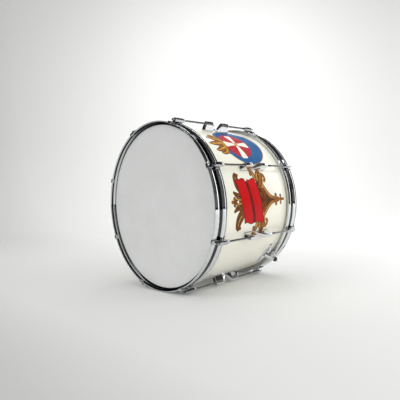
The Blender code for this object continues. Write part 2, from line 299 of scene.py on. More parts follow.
# tint, wear and grain are noises of (scale, detail, roughness) for the colour, the gloss and the bump
finishSettings = dict(
    pressedChrome=dict(low=(0.70, 0.71, 0.73), high=(0.80, 0.81, 0.83), plain=0.06, metallic=1.0,
                       tint=(90, 3, 0.5), gloss=(0.035, 0.085), wear=(260, 2, 0.5),
                       grain=(55, 1, 0.5), bump=(0.04, 0.0006)),
    # plated castings and drawn rods are a little softer than the pressed hoops
    castChrome=dict(low=(0.72, 0.73, 0.75), high=(0.82, 0.83, 0.84), plain=0.09, metallic=1.0,
                    tint=(140, 3, 0.5), gloss=(0.06, 0.13), wear=(300, 2, 0.5),
                    grain=(180, 2, 0.5), bump=(0.06, 0.0004)),
    wrap=dict(low=(0.80, 0.78, 0.66), high=(0.86, 0.85, 0.76), plain=0.2, coat=0.35, coatRoughness=0.08,
              tint=(5, 5, 0.6), gloss=(0.16, 0.26), wear=(30, 4, 0.5),
              grain=(420, 2, 0.5), bump=(0.05, 0.0004)),
    film=dict(low=(0.75, 0.76, 0.75), high=(0.80, 0.805, 0.80), plain=0.6,
              tint=(14, 6, 0.65), gloss=(0.5, 0.68), wear=(700, 2, 0.5),
              grain=(1500, 3, 0.7), bump=(0.35, 0.00025)),
    maple=dict(low=(0.52, 0.35, 0.19), high=(0.74, 0.56, 0.36), base=(0.66, 0.47, 0.28), plain=0.45,
               stretch=(0.12, 1, 0.12), tint=(60, 6, 0.5), grain=(60, 6, 0.5), bump=(0.15, 0.0004)),
    aluminium=dict(low=(0.62, 0.63, 0.64), high=(0.78, 0.79, 0.80), base=(0.75, 0.76, 0.77), plain=0.35,
                   metallic=1.0, stretch=(1, 40, 1), tint=(30, 4, 0.5), gloss=(0.28, 0.42),
                   wear=(30, 4, 0.5)),
    rubber=dict(low=(0.018, 0.018, 0.018), high=(0.045, 0.045, 0.045), base=(0.03, 0.03, 0.03),
                plain=0.75, tint=(300, 3, 0.5), grain=(900, 2, 0.5), bump=(0.3, 0.0003)),
    enamel=dict(plain=0.3, specular=0.15, gloss=(0.29, 0.36), wear=(120, 3, 0.5),
                grain=(500, 3, 0.5), bump=(0.12, 0.0003)),
)
# painted shade: the claws take a darker copy of the plated castings' finish, for the dark reflections they
# show
clawShadeTones = dict(low=(0.46, 0.47, 0.49), high=(0.62, 0.63, 0.65))
# painted shade: the rods take a much darker copy of the plated finish, for their dark reflections and the
# shadow along them
rodShadeTones = dict(low=(0.24, 0.245, 0.255), high=(0.36, 0.365, 0.375))
# the groove between a hoop's beads is painted near black, as painted shade in the recess
grooveShade = dict(color=(0.05, 0.052, 0.055), deep=3.9, shallow=2.5)
# the coating stops at the head's rim; the clear film beyond it is painted near black, partly its own clear
# look and partly painted shade in the narrow gap under the hoop
rimShadeSettings = dict(color=(0.045, 0.045, 0.047), within=0.4, beyond=0.6)


def finish(name, kind, **changes):
    look = dict(finishSettings[kind], **changes)
    material = newMaterial(name, look.get("base", look["high"]), look["plain"], look.get("metallic", 0.0))
    stretch = look.get("stretch", (1, 1, 1))
    inputs = shaderOf(material).inputs
    mixColors(material, noiseOn(material, *look["tint"], stretch), look["low"], look["high"])
    if "gloss" in look:
        varyRoughness(material, noiseOn(material, *look["wear"], stretch), *look["gloss"])
    if "bump" in look:
        addBump(material, noiseOn(material, *look["grain"], stretch), *look["bump"])
    if "coat" in look:
        inputs["Coat Weight"].default_value = look["coat"]
        inputs["Coat Roughness"].default_value = look["coatRoughness"]
    if "specular" in look:
        inputs["Specular IOR Level"].default_value = look["specular"]
    return material


def enamelFinish(name, low, high, scale):
    return finish(name, "enamel", low=low, high=high, tint=(scale, 5, 0.65))


def fromAxis(material):
    # distance of each point from the drum's axis
    place = addNode(material, "ShaderNodeTexCoord")
    offset = addNode(material, "ShaderNodeVectorMath", operation="SUBTRACT")
    offset.inputs[1].default_value = drumCentre
    flatten = addNode(material, "ShaderNodeVectorMath", operation="MULTIPLY")
    flatten.inputs[1].default_value = (1, 0, 1)
    distance = addNode(material, "ShaderNodeVectorMath", operation="LENGTH")
    link(material, place.outputs["Object"], offset.inputs[0])
    link(material, offset.outputs["Vector"], flatten.inputs[0])
    link(material, flatten.outputs["Vector"], distance.inputs[0])
    return distance.outputs["Value"]


def tintByRadius(material, start, end, color, tinted, own):
    # blends from input A to input B between two radii: tinted takes the colour, own the finish's own
    shader = shaderOf(material)
    before = shader.inputs["Base Color"].links[0].from_socket
    span = addNode(material, "ShaderNodeMapRange")
    span.inputs["From Min"].default_value = start
    span.inputs["From Max"].default_value = end
    mix = addNode(material, "ShaderNodeMix", data_type="RGBA")
    mix.inputs[tinted].default_value = (*color, 1)
    link(material, fromAxis(material), span.inputs["Value"])
    link(material, span.outputs["Result"], mix.inputs["Factor"])
    link(material, before, mix.inputs[own])
    link(material, mix.outputs["Result"], shader.inputs["Base Color"])


chrome = finish("polishedChrome", "pressedChrome")
hoopChrome = finish("hoopChrome", "pressedChrome")
# painted shade: the hoop's chrome is darkened to near black in the groove between its beads
tintByRadius(hoopChrome, hoopRadius - grooveShade["deep"] * mm,
             hoopRadius - grooveShade["shallow"] * mm, grooveShade["color"], "A", "B")
castChrome = finish("castChrome", "castChrome")
# painted shade: a darker copy of the plated castings' finish, for the claws
clawShadedChrome = finish("clawShadedChrome", "castChrome", **clawShadeTones)
# painted shade: a much darker copy of the plated castings' finish, for the tension rods
rodShadedChrome = finish("rodShadedChrome", "castChrome", **rodShadeTones)
ivory = finish("ivoryWrap", "wrap")
film = finish("coatedFilm", "film")
# painted shade: the film is darkened to near black outside the shell's radius, where the hoop shuts out
# light
tintByRadius(film, shellRadius - rimShadeSettings["within"] * mm,
             shellRadius + rimShadeSettings["beyond"] * mm, rimShadeSettings["color"], "B", "A")
maple = finish("mapleRing", "maple")
aluminium = finish("drawnAluminium", "aluminium")
rubber = finish("blackRubber", "rubber")
print("finishes made")


# shell, with its ply tube, wrap and inside rings

shellSettings = dict(
    wall=7.5,
    wrap=0.5,
    lip=1.5,
    bevel=4.0,
    steps=256,
    wrapShort=0.3,       # from the wrap's edge to the shell's lip
    wrapPlay=0.02,
    legHole=(7.0, -40, 10),
    ventHole=(6.3, 230, 270),
    sleeveToScrew=14.1,  # along the spur's leg
    ringSteps=160,
)
# rounds are of the outer far, outer near, inner near and inner far corners
reinforcement = dict(piece="mapleRing_", node="reinforcement_ring_", play=0.0, wall=7.4,
                     rounds=(0.6, 0.6, 2.5, 1.0))
fleshHoop = dict(piece="fleshHoop_", node="flesh_hoop_", play=0.1, wall=6.6,
                 rounds=(1.2, 1.2, 1.2, 1.2))


def makeShell():
    outer = millimetres(shellRadius)
    half = millimetres(shellHalf)
    ply = outer - shellSettings["wrap"]
    inner = outer - shellSettings["wall"]
    lip = shellSettings["lip"]
    bevel = shellSettings["bevel"]
    corners = [
        (inner + bevel, half, 0.6), (outer - lip, half, 0.8), (ply, half - lip, 0.3),
        (ply, lip - half, 0.3), (outer - lip, -half, 0.8), (inner + bevel, -half, 0.6),
        (inner, bevel - half, 0.5), (inner, half - bevel, 0.5),
    ]
    tube = moved(turned(roundedPath(corners), shellSettings["steps"]), ringFrame(1))
    makePiece("shellPly", carved(tube, shellHoles()), maple, "drum", ["shell"])
    edge = half - lip - shellSettings["wrapShort"]
    under = ply + shellSettings["wrapPlay"]
    corners = [(outer, edge, 0.2), (outer, -edge, 0.2), (under, -edge, 0), (under, edge, 0)]
    wrap = moved(turned(roundedPath(corners), shellSettings["steps"]), ringFrame(1))
    makePiece("shellWrap", carved(wrap, shellHoles()), ivory, "drum", ["shell"])


def shellHoles():
    holes = []
    for hand in hands:
        holes.append(("DIFFERENCE", moved(cylinder(*shellSettings["legHole"]), legFrame(hand))))
    holes.append(("DIFFERENCE", moved(cylinder(*shellSettings["ventHole"]), ventFrame())))
    return holes


def legFrame(hand):
    # local Z runs out along the spur's leg, from the middle of its rubber sleeve's near end
    joint = joints["spur_slide_" + hand]
    direction = Vector(joint["axis"])
    screw = joints["wing_screw_turn_" + hand]
    origin = Vector(screw["pos_m"]) - direction * shellSettings["sleeveToScrew"] * mm
    return frameAt(origin, direction, -Vector(screw["axis"]))


def screwFrame(hand):
    screw = joints["wing_screw_turn_" + hand]
    return frameAt(Vector(screw["pos_m"]), -Vector(screw["axis"]), yAxis)


def ventFrame():
    low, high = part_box("air_vent")
    middle = (low + high) / 2
    direction = Vector((copysign(1, middle.x), 0, 0))
    return frameAt(drumCentre, direction, yAxis)


def makeRings(ring, material):
    for name, side in sides.items():
        node = ring["node"] + name
        low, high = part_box(node)
        near, far = sorted((millimetres(abs(low.y)), millimetres(abs(high.y))))
        outer = millimetres((high.x - low.x) / 2) - ring["play"]
        inner = outer - ring["wall"]
        places = ((outer, far), (outer, near), (inner, near), (inner, far))
        corners = [(*place, rounding) for place, rounding in zip(places, ring["rounds"])]
        shape = turned(roundedPath(corners), shellSettings["ringSteps"])
        makePiece(ring["piece"] + name, moved(shape, ringFrame(side)), material, "drum", [node])


# heads and hoops

headSettings = dict(
    film=0.3,
    rounding=2.2,
    collarGap=0.45,
    flangeLow=160.3,
    flangeHigh=160.8,
    flangeRadius=262.0,
    flatReach=245,
    thickness=0.35,      # of the playing face
    steps=256,
)


def makeHeads():
    face = millimetres(headFace)
    inner = millimetres(shellRadius) + headSettings["collarGap"]
    outer = inner + headSettings["film"]
    under = face - headSettings["thickness"]
    flat = headSettings["flatReach"]
    rounding = headSettings["rounding"]
    flange = headSettings["flangeRadius"]
    low = headSettings["flangeLow"]
    high = headSettings["flangeHigh"]
    corners = [
        (0, face, 0), (flat, face, 0), (outer, face, rounding), (outer, high, 0.8),
        (flange, high, 0.1), (flange, low, 0.1), (inner, low, 0.6), (inner, under, rounding),
        (flat, under, 0), (0, under, 0),
    ]
    path = roundedPath(corners, closed=False, steps=8)
    for name, node, side in (("batterHead", "batter_head", -1), ("resonantHead", "resonant_head", 1)):
        skin = turned(path, headSettings["steps"], closed=False)
        makePiece(name, moved(skin, ringFrame(side)), film, "drum", [node])


hoopSettings = dict(
    hem=2.0,             # rolled edge, as thick as two sheets
    hemDrop=0.15,        # of the hem below the beads' crowns
    hemPlay=0.02,
    hemSkirt=0.7,        # from a hem's inner end to its bead
    sheet=1.0,
    shoulder=2.1,        # how far the beads' edges lie below their crowns
    frontBead=(2.8, 17.6),
    rearBead=(32.4, 44.7),
    channel=(20.8, 29.4),
    channelDepth=4.4,
    stations=84,
    steps=288,
)


def hoopHeight(behind):
    # outer surface of the pressed hoop, measured down from its crown
    frontEnd = hoopSettings["frontBead"][1]
    rearStart = hoopSettings["rearBead"][0]
    channelStart, channelEnd = hoopSettings["channel"]
    shoulder = hoopSettings["shoulder"]
    depth = hoopSettings["channelDepth"]
    for start, end in (hoopSettings["frontBead"], hoopSettings["rearBead"]):
        if start <= behind <= end:
            return shoulder * (1 - sin(pi * (behind - start) / (end - start)))
    if behind < channelStart:
        return shoulder + (depth - shoulder) * smoothstep(frontEnd, channelStart, behind)
    return depth + (shoulder - depth) * smoothstep(channelEnd, rearStart, behind)


def hemArc(middle, radius, start, end, steps=6):
    points = []
    for step in range(steps + 1):
        angle = radians(start + (end - start) * step / steps)
        points.append(Vector((middle[0] + radius * cos(angle), middle[1] + radius * sin(angle))))
    return points


def hoopPath():
    crown = millimetres(hoopRadius)
    edge = millimetres(hoopEdge)
    width = millimetres(hoopWidth)
    hem = hoopSettings["hem"] / 2
    hemMiddle = crown - hoopSettings["hemDrop"] - hem
    play = hoopSettings["hemPlay"]
    skirt = hoopSettings["hemSkirt"]
    first = hoopSettings["frontBead"][0]
    last = hoopSettings["rearBead"][1]
    count = hoopSettings["stations"]
    stations = [first + (last - first) * step / count for step in range(count + 1)]
    outside = [Vector((crown - hoopHeight(behind), behind)) for behind in stations]
    inside = []
    for index, point in enumerate(outside):
        before = outside[max(index - 1, 0)]
        after = outside[min(index + 1, count)]
        slope = (after - before).normalized()
        inside.append(point - Vector((slope.y, -slope.x)) * hoopSettings["sheet"])
    low = hemMiddle - hem
    high = hemMiddle + hem
    front = [Vector((low, first - skirt))] + hemArc((hemMiddle, hem + play), hem, -180, 0)
    front.append(Vector((high, first - skirt)))
    rear = [Vector((high, last + skirt))] + hemArc((hemMiddle, width - hem - play), hem, 0, 180)
    rear.append(Vector((low, last + skirt)))
    loop = front + outside + rear + inside[::-1]
    return [Vector((point.x, edge - point.y)) * mm for point in loop]


def makeCounterHoops():
    path = hoopPath()
    for name, side in sides.items():
        ring = moved(turned(path, hoopSettings["steps"]), ringFrame(side))
        makePiece("counterHoop_" + name, ring, hoopChrome, "drum", ["counter_hoop_" + name],
                  sharp=50)


makeShell()
makeRings(reinforcement, maple)
print("shell made")
makeHeads()
makeRings(fleshHoop, aluminium)
makeCounterHoops()
print("heads and hoops made")


# tension rods with their claws, lugs and swivel nuts

rodSettings = dict(
    radius=3.0,
    root=2.62,
    pitch=1.0,
    crest=(0.42, 0.58),  # start and end of a thread's flat top, as shares of the pitch
    point=(2.0, 0.7),    # radius of the rod's inner end, and the length that it widens over
    firstTurn=1.0,
    threadEnds=1.5,      # plain length at the two ends of the thread
    runout=0.5,
    threadEnd=74.0,      # from the drum's middle
    innerEnd=30.0,
    seat=178.8,
    flange=((3.0, 0.32), (4.7, 0.32), (5.0, 0.6), (4.8, 1.5), (3.5, 2.1), (0, 2.1)),
    headHalf=3.15,
    headFoot=1.6,
    headTop=8.0,
    headRound=0.4,
    steps=20,
)


def rodMesh():
    # local Z runs along the rod, from its flange's seat
    low = rodSettings["innerEnd"] - rodSettings["seat"]
    threadTop = rodSettings["threadEnd"] - rodSettings["seat"]
    radius = rodSettings["radius"]
    root = rodSettings["root"]
    pitch = rodSettings["pitch"]
    pointRadius, pointLength = rodSettings["point"]
    path = [Vector((0, low)), Vector((pointRadius, low)), Vector((root, low + pointLength))]
    for turn in range(int((threadTop - low - rodSettings["threadEnds"]) / pitch)):
        base = low + rodSettings["firstTurn"] + turn * pitch
        path.append(Vector((root, base)))
        path += [Vector((radius, base + share * pitch)) for share in rodSettings["crest"]]
    path += [Vector((root, threadTop)), Vector((radius, threadTop + rodSettings["runout"]))]
    path += [Vector(point) for point in rodSettings["flange"]]
    shaft = turned([point * mm for point in path], rodSettings["steps"], closed=False)
    half = rodSettings["headHalf"]
    corners = [(half, half, 0.5), (-half, half, 0.5), (-half, -half, 0.5), (half, -half, 0.5)]
    foot = rodSettings["headFoot"]
    depth = (rodSettings["headTop"] - foot) * mm
    head = slab(roundedPath(corners, steps=2), depth, rodSettings["headRound"] * mm)
    head = moved(head, Matrix.Translation((0, 0, foot * mm + depth / 2)))
    return carved(shaft, [("UNION", head)])


def rodLine(side):
    # local Z runs along the rods of one place, in that place's own frame
    return frameAt(Vector((0, rodCircle, 0)), Vector((side, 0, 0)), Vector((0, 1, 0)))


lugSettings = dict(
    foot=254.3,
    flangeHeight=1.6,
    flangeRim=0.9,
    towerWidth=15.4,
    waistWidth=9.4,
    shape=((0, 6.8, 0), (5, 7.6, 5), (17.6, 25.4, 5), (22.5, 28.5, 4), (36, 28.9, 12),
           (50.4, 28.4, 2.5), (53.0, 15, 12), (53.7, 2.0, 0.5), (54.4, 1.6, 0.2)),
    waistSpan=(4, 20),   # where the waist widens into the towers
    flangeSide=0.8,      # upright share of the flange's edge
    flangeRound=0.3,
    bore=(3.5, 28, 60),
    squareness=4.2,
    steps=22,
    pocket=((5.3, 257.8, 1.6), (5.3, 280.2, 3.0), (-5.3, 280.2, 3.0), (-5.3, 257.8, 1.6)),
    pocketReach=(44.0, 60.0),    # from the lug's middle
    insertReach=(44.1, 50.0),
)


def lugSection(along, height):
    tower = lugSettings["towerWidth"] / 2
    waist = lugSettings["waistWidth"] / 2
    half = waist + (tower - waist) * smoothstep(*lugSettings["waistSpan"], abs(along))
    flange = min(lugSettings["flangeHeight"], height)
    rim = half + lugSettings["flangeRim"]
    power = 2 / lugSettings["squareness"]
    side = flange * lugSettings["flangeSide"]
    lean = lugSettings["flangeRound"]
    arch = []
    steps = lugSettings["steps"]
    for step in range(steps + 1):
        angle = pi * step / steps
        across = half * copysign(abs(cos(angle)) ** power, cos(angle))
        arch.append((across, flange + max(height - flange, 0) * abs(sin(angle)) ** power))
    points = [(rim, 0), (rim, side), (rim - lean, flange)] + arch
    points += [(lean - rim, flange), (-rim, side), (-rim, 0)]
    foot = lugSettings["foot"]
    return [Vector((along, foot + rise, across)) * mm for across, rise in points]


def lugMesh():
    half = [(point.x / mm, point.y / mm) for point in roundedPath(lugSettings["shape"], False, 6)]
    end = lugSettings["shape"][-1][0]
    half.append((end, 0))
    stations = [(-along, height) for along, height in half[:0:-1]] + half
    body = surface([lugSection(along, height) for along, height in stations])
    bores = []
    for side in sides.values():
        bores.append(("DIFFERENCE", moved(cylinder(*lugSettings["bore"]), rodLine(side))))
        bores.append(("DIFFERENCE", towerBlock(lugSettings["pocketReach"], side)))
    return carved(body, bores)


def towerBlock(reach, side):
    # block of the pocket's outline in one of the lug's towers
    start, end = reach
    block = slab(roundedPath(lugSettings["pocket"]), (end - start) * mm)
    middle = Vector((side * (start + end) / 2, 0, 0)) * mm
    return moved(block, frameAt(middle, Vector((side, 0, 0)), Vector((0, 0, -side))))


def insertMesh(side):
    # moulded insert that holds the swivel nut in a tower
    block = towerBlock(lugSettings["insertReach"], side)
    return carved(block, [("DIFFERENCE", moved(cylinder(*lugSettings["bore"]), rodLine(side)))])


clawSettings = dict(
    bodyWidth=13.2,
    lipWidth=13.6,
    lipRound=0.5,
    boreRadius=3.3,
    boreLength=60,
    squareness=3.2,
    steps=32,
    # behind the hoop's edge, underside, top, share of the full width
    stations=((-0.6, 265.4, 268.2, 0.97), (0.2, 265.3, 268.8, 1.0), (9.0, 265.3, 269.1, 1.0),
              (15.0, 265.3, 269.2, 0.98), (15.7, 265.3, 269.8, 0.96), (15.75, 265.3, 279.6, 0.90),
              (16.2, 265.3, 280.7, 0.94), (17.6, 265.3, 281.3, 0.97), (21.0, 265.3, 281.5, 0.98),
              (38.0, 265.3, 281.5, 0.98), (44.0, 265.3, 281.2, 0.95), (46.5, 266.2, 280.8, 0.93),
              (50.0, 268.2, 280.0, 0.88), (53.0, 269.6, 279.2, 0.82), (54.4, 270.2, 278.5, 0.76),
              (54.9, 270.8, 277.8, 0.70)),
    lip=((8.0, 262.6, 0.9), (8.0, 260.8, 0.9), (-2.3, 260.8, 1.8), (-2.3, 266.9, 1.5),
         (-0.6, 268.7, 1.0), (3.0, 268.7, 0), (3.0, 265.8, 0), (-0.35, 265.6, 0.4),
         (-0.35, 262.6, 0.3)),
)


def clawSection(behind, low, high, share):
    half = clawSettings["bodyWidth"] / 2 * share
    power = 2 / clawSettings["squareness"]
    along = millimetres(hoopEdge) - behind
    points = []
    steps = clawSettings["steps"]
    for step in range(steps + 1):
        angle = 2 * pi * step / steps
        across = half * copysign(abs(cos(angle)) ** power, cos(angle))
        rise = (high - low) / 2 * copysign(abs(sin(angle)) ** power, sin(angle))
        points.append(Vector((along, (low + high) / 2 + rise, across)) * mm)
    return points


def clawMesh():
    body = surface([clawSection(*station) for station in clawSettings["stations"]])
    edge = millimetres(hoopEdge)
    corners = [(edge - behind, radius, rounding) for behind, radius, rounding in clawSettings["lip"]]
    lip = slab(roundedPath(corners, steps=3), clawSettings["lipWidth"] * mm, clawSettings["lipRound"] * mm)
    bore = cylinder(clawSettings["boreRadius"], edge - clawSettings["boreLength"], edge)
    return carved(body, [("UNION", lip), ("DIFFERENCE", moved(bore, rodLine(1)))])


nutProfile = ((3.3, 52.2, 0.2), (4.5, 52.2, 0.5), (4.5, 50.1, 0.2), (3.45, 50.1, 0), (3.45, 31, 0.1),
              (3.3, 31, 0))


def nutMesh():
    # round bush that floats in the end of a lug's tower
    return moved(turned(roundedPath(nutProfile, steps=3), 24), rodLine(1))


def makeTensionSets():
    lug = lugMesh()
    claw = clawMesh()
    rodShape = rodMesh()
    nut = nutMesh()
    inserts = {side: insertMesh(side) for side in sides.values()}
    for number in range(1, 9):
        place = Vector(joints[f"rod_rear_{number}_turn"]["pos_m"]) - drumCentre
        angle = atan2(place.x, place.z) * 180 / pi
        makePiece(f"lug_{number}_casting", moved(lug.copy(), sideFrame(angle, 1)), castChrome,
                  "drum", [f"lug_{number}"])
        for name, side in sides.items():
            label = f"{name}_{number}"
            makePiece("clawHook_" + label, moved(claw.copy(), sideFrame(angle, side)), clawShadedChrome,
                      "drum", ["claw_" + label], sharp=40)
            makePiece("swivelNut_" + label, moved(nut.copy(), sideFrame(angle, side)), chrome,
                      "drum")
            makePiece("nutInsert_" + label, moved(inserts[side].copy(), sideFrame(angle, 1)), rubber,
                      "drum")
            seat = Vector(joints[f"rod_{label}_turn"]["pos_m"])
            turn = frameAt(seat, yAxis * side, outward(angle))
            makePiece("tensionRod_" + label, moved(rodShape.copy(), turn), rodShadedChrome, "rod_" + label,
                      ["rod_" + label], sharp=30)
    for shape in (lug, claw, rodShape, nut, *inserts.values()):
        shape.free()


makeTensionSets()
print("rods, claws and lugs made")


# spurs

spurSettings = dict(
    angle=135,
    middle=122.0,        # of the bracket, along the drum
    foot=254.3,
    top=258.0,
    topDepth=0.3,
    reach=(80, 160),     # a ring of the bracket's thickness, cut to the outline
    blank=30.0,
    rimAngle=1.2,
    rimRound=1.2,
    shellReach=170,
    legBore=(5.3, -40, 40),
    screwBore=(3.25, 0, 30),
    outline=((19.8, 13.8, 7), (4.2, 24.6, 9), (1.8, 39.8, 4), (-2.0, 43.8, 4), (-10.0, 43.8, 4),
             (-13.8, 39.8, 4), (-15.8, 24.6, 8), (-20.8, 13.8, 7), (-20.8, -13.8, 7),
             (-15.8, -24.6, 8), (-13.8, -39.8, 4), (-10.0, -43.8, 4), (-2.0, -43.8, 4),
             (1.8, -39.8, 4), (4.2, -24.6, 9), (19.8, -13.8, 7)),
    screwArc=36.0,
    screwAlong=116.0,
    barrel=((0, 24.0, 0), (8.6, 24.0, 0.8), (9.6, 22.6, 0.8), (9.6, 17.0, 1), (9.0, 16.0, 1),
            (9.0, -9.0, 0), (0, -9.0, 0)),
    boss=((0, 17.4, 0), (6.0, 17.4, 0.7), (6.7, 16.4, 0.7), (6.7, 0, 0), (0, 0, 0)),
    screwSink=0.15,
    screwHead=((0, 2.0, 0), (1.8, 1.8, 2), (3.4, 0.7, 1), (3.5, 0, 0), (0, 0, 0)),
    recess=(3.2, 0.8, 1.6),
    recessMiddle=1.9,
    leg=((0, 45, 0), (1.2, 45, 0.8), (5.0, 37, 1.5), (5.0, -186, 0.3), (6.5, -186, 0.5),
         (6.5, -190, 0.8), (0, -190, 0)),
    sleeve=((5.2, 35.4, 0.3), (7.2, 35.4, 0.8), (7.9, 33.8, 0.5), (7.3, 32.6, 0.4),
            (7.9, 31.6, 0.4), (7.3, 30.5, 0.4), (7.9, 29.4, 0.4), (7.3, 28.3, 0.4),
            (7.9, 27.2, 0.4), (7.6, 25.6, 0.6), (5.2, 25.6, 0.3)),
)


def makeSpurBracket(hand, sign):
    foot = spurSettings["foot"]
    top = spurSettings["top"]
    near, far = spurSettings["reach"]
    direction = outward(spurSettings["angle"] * sign)
    middle = drumCentre + direction * top * mm + yAxis * spurSettings["middle"] * mm
    blank = slab(roundedPath(spurSettings["outline"], steps=4), spurSettings["blank"] * mm)
    skin = roundedPath([(top, far, 0), (top, near, 0), (foot, near, 0), (foot, far, 0)])
    skin = moved(turned(skin, shellSettings["steps"]), ringFrame(1))
    plate = carved(moved(blank, frameAt(middle, direction, yAxis)), [("INTERSECT", skin)])
    rims = [edge for edge in plate.edges
            if edge.calc_face_angle(0) > spurSettings["rimAngle"] and onTop(edge)]
    bmesh.ops.bevel(plate, geom=rims, offset=spurSettings["rimRound"] * mm, segments=3, profile=0.5,
                    affect="EDGES", material=-1)
    reach = spurSettings["shellReach"]
    changes = [
        ("UNION", moved(roundBar(spurSettings["barrel"]), legFrame(hand))),
        ("UNION", moved(roundBar(spurSettings["boss"]), screwFrame(hand))),
        ("DIFFERENCE", moved(cylinder(foot, -reach, reach, shellSettings["steps"]), ringFrame(1))),
        ("DIFFERENCE", moved(cylinder(*spurSettings["legBore"]), legFrame(hand))),
        ("DIFFERENCE", moved(cylinder(*spurSettings["screwBore"]), screwFrame(hand))),
    ]
    makePiece("spurFoot_" + hand, carved(plate, changes), castChrome, "drum",
              ["spur_bracket_" + hand])
    for label, side in (("upper", -1), ("lower", 1)):
        turn = radians(spurSettings["angle"] * sign) + side * sign * spurSettings["screwArc"] / top
        direction = outward(turn * 180 / pi)
        seat = drumCentre + direction * (top - spurSettings["screwSink"]) * mm
        seat += yAxis * spurSettings["screwAlong"] * mm
        makePiece(f"footScrew_{hand}_{label}", moved(footScrew(), frameAt(seat, direction, yAxis)),
                  chrome, "drum")


def onTop(edge):
    middle = (edge.verts[0].co + edge.verts[1].co) / 2 - drumCentre
    return Vector((middle.x, middle.z)).length > (spurSettings["top"] - spurSettings["topDepth"]) * mm


def footScrew():
    # domed head with a cross recess
    long, short, deep = spurSettings["recess"]
    changes = []
    for length, width in ((long, short), (short, long)):
        slot = bmesh.new()
        bmesh.ops.create_cube(slot, size=1)
        bmesh.ops.scale(slot, vec=(length * mm, width * mm, deep * mm), verts=slot.verts)
        place = Matrix.Translation((0, 0, spurSettings["recessMiddle"] * mm))
        changes.append(("DIFFERENCE", moved(slot, place)))
    return carved(roundBar(spurSettings["screwHead"], 24), changes)


def makeSpurLeg(hand):
    body = "spur_leg_" + hand
    leg = moved(roundBar(spurSettings["leg"]), legFrame(hand))
    makePiece("spurLegRod_" + hand, leg, chrome, body, [body])
    sleeve = moved(turned(roundedPath(spurSettings["sleeve"], steps=3), 32), legFrame(hand))
    makePiece("spurSleeve_" + hand, sleeve, rubber, body, ["spur_tip_" + hand])


wingScrewSettings = dict(
    head=((0, 23.0, 0), (3.4, 22.8, 1.2), (5.2, 21.0, 1.0), (5.4, 17.9, 0.3), (2.95, 17.9, 0)),
    turns=10,
    firstTurn=16.6,
    pitch=1.1,
    thread=((2.95, 0.3), (2.6, -0.2), (2.95, -0.7)),     # one turn, about its own height
    end=((2.4, 5.4, 0), (0, 5.4, 0)),
    wing=((0, 17.9, 0), (4.6, 18.6, 1.5), (8.0, 21.0, 3), (12.8, 21.6, 3.5), (12.8, 29.6, 4.2),
          (7.0, 30.6, 4), (3.0, 23.6, 4), (0, 22.6, 0)),
    thickness=2.6,
    rounding=0.8,
)


def makeWingScrew(hand):
    look = wingScrewSettings
    path = list(look["head"])
    for turn in range(look["turns"]):
        base = look["firstTurn"] - turn * look["pitch"]
        path += [(radius, base + rise, 0) for radius, rise in look["thread"]]
    stud = roundBar(path + list(look["end"]), 24)
    outline = list(look["wing"]) + [(-x, y, rounding) for x, y, rounding in look["wing"][-2:0:-1]]
    wings = slab(roundedPath(outline, steps=5), look["thickness"] * mm, look["rounding"] * mm, 3)
    wings = moved(wings, Matrix.Rotation(pi / 2, 4, "X"))
    shape = moved(carved(stud, [("UNION", wings)]), screwFrame(hand))
    body = "spur_wing_screw_" + hand
    makePiece("wingScrew_" + hand, shape, chrome, body, [body])


for hand, sign in hands.items():
    makeSpurBracket(hand, sign)
    makeSpurLeg(hand)
    makeWingScrew(hand)
print("spurs made")


ventSettings = dict(
    play=0.3,
    # radius, height from the shell's outer or inner face, rounding
    outer=((4.6, 1.5, 0.9), (9.8, 1.5, 0.8), (11.0, 0.05, 0.2), (5.9, 0, 0.2)),
    inner=((5.9, 0, 0.2), (8.9, 0, 0.3), (8.4, -1.3, 0.5), (4.6, -1.3, 0.6)),
)


def makeVent():
    outside = millimetres(shellRadius) + ventSettings["play"]
    inside = millimetres(shellRadius) - shellSettings["wall"] - ventSettings["play"]
    corners = [(radius, outside + rise, rounding) for radius, rise, rounding in ventSettings["outer"]]
    corners += [(radius, inside + rise, rounding) for radius, rise, rounding in ventSettings["inner"]]
    eyelet = turned(roundedPath(corners, steps=4), 40)
    makePiece("ventEyelet", moved(eyelet, ventFrame()), chrome, "drum", ["air_vent"])


makeVent()
print("vent made")


# painted decoration on the shell: shapes are drawn flat and laid on the curve
# flat X runs along the drum and flat Y down round the shell, in millimetres

decorSettings = dict(
    layer=0.05,          # thickness of one coat of paint
    cut=4.0,             # spacing of the cuts that let a flat shape bend
    shade=3.0,           # how much wider a stroke's dark edge is
    light=0.3,           # share of a stroke's width that is lit
    curl=0.72,           # radius of a scroll's end, as a share of its stroke's width
    curlWidth=5,         # narrowest end that has a curl
)


def layOn(bm, angle, coat):
    # thickens a flat shape by one coat and bends it round the shell
    grown = bmesh.ops.extrude_face_region(bm, geom=bm.faces[:])
    top = [item for item in grown["geom"] if isinstance(item, bmesh.types.BMVert)]
    bmesh.ops.translate(bm, vec=(0, 0, decorSettings["layer"]), verts=top)
    radius = millimetres(shellRadius)
    for vert in bm.verts:
        turn = angle + vert.co.y / radius * 180 / pi
        lift = radius + coat * decorSettings["layer"] + vert.co.z
        vert.co = drumPoint(turn, lift * mm, vert.co.x * mm)
    return cleanUp(bm)


def patch(points):
    # flat outline filled and cut across, so that it can bend
    bm = bmesh.new()
    bm.faces.new([bm.verts.new((x, y, 0)) for x, y in points])
    bmesh.ops.triangulate(bm, faces=bm.faces[:])
    low = min(y for x, y in points)
    high = max(y for x, y in points)
    step = decorSettings["cut"]
    cuts = int((high - low) / step)
    for index in range(1, cuts + 1):
        everything = bm.verts[:] + bm.edges[:] + bm.faces[:]
        bmesh.ops.bisect_plane(bm, geom=everything, plane_co=(0, low + index * step, 0),
                               plane_no=(0, 1, 0))
    return bm


def ellipse(middle, reach, count=72):
    points = []
    for index in range(count):
        angle = 2 * pi * index / count
        points.append((middle[0] + reach[0] * cos(angle), middle[1] + reach[1] * sin(angle)))
    return points


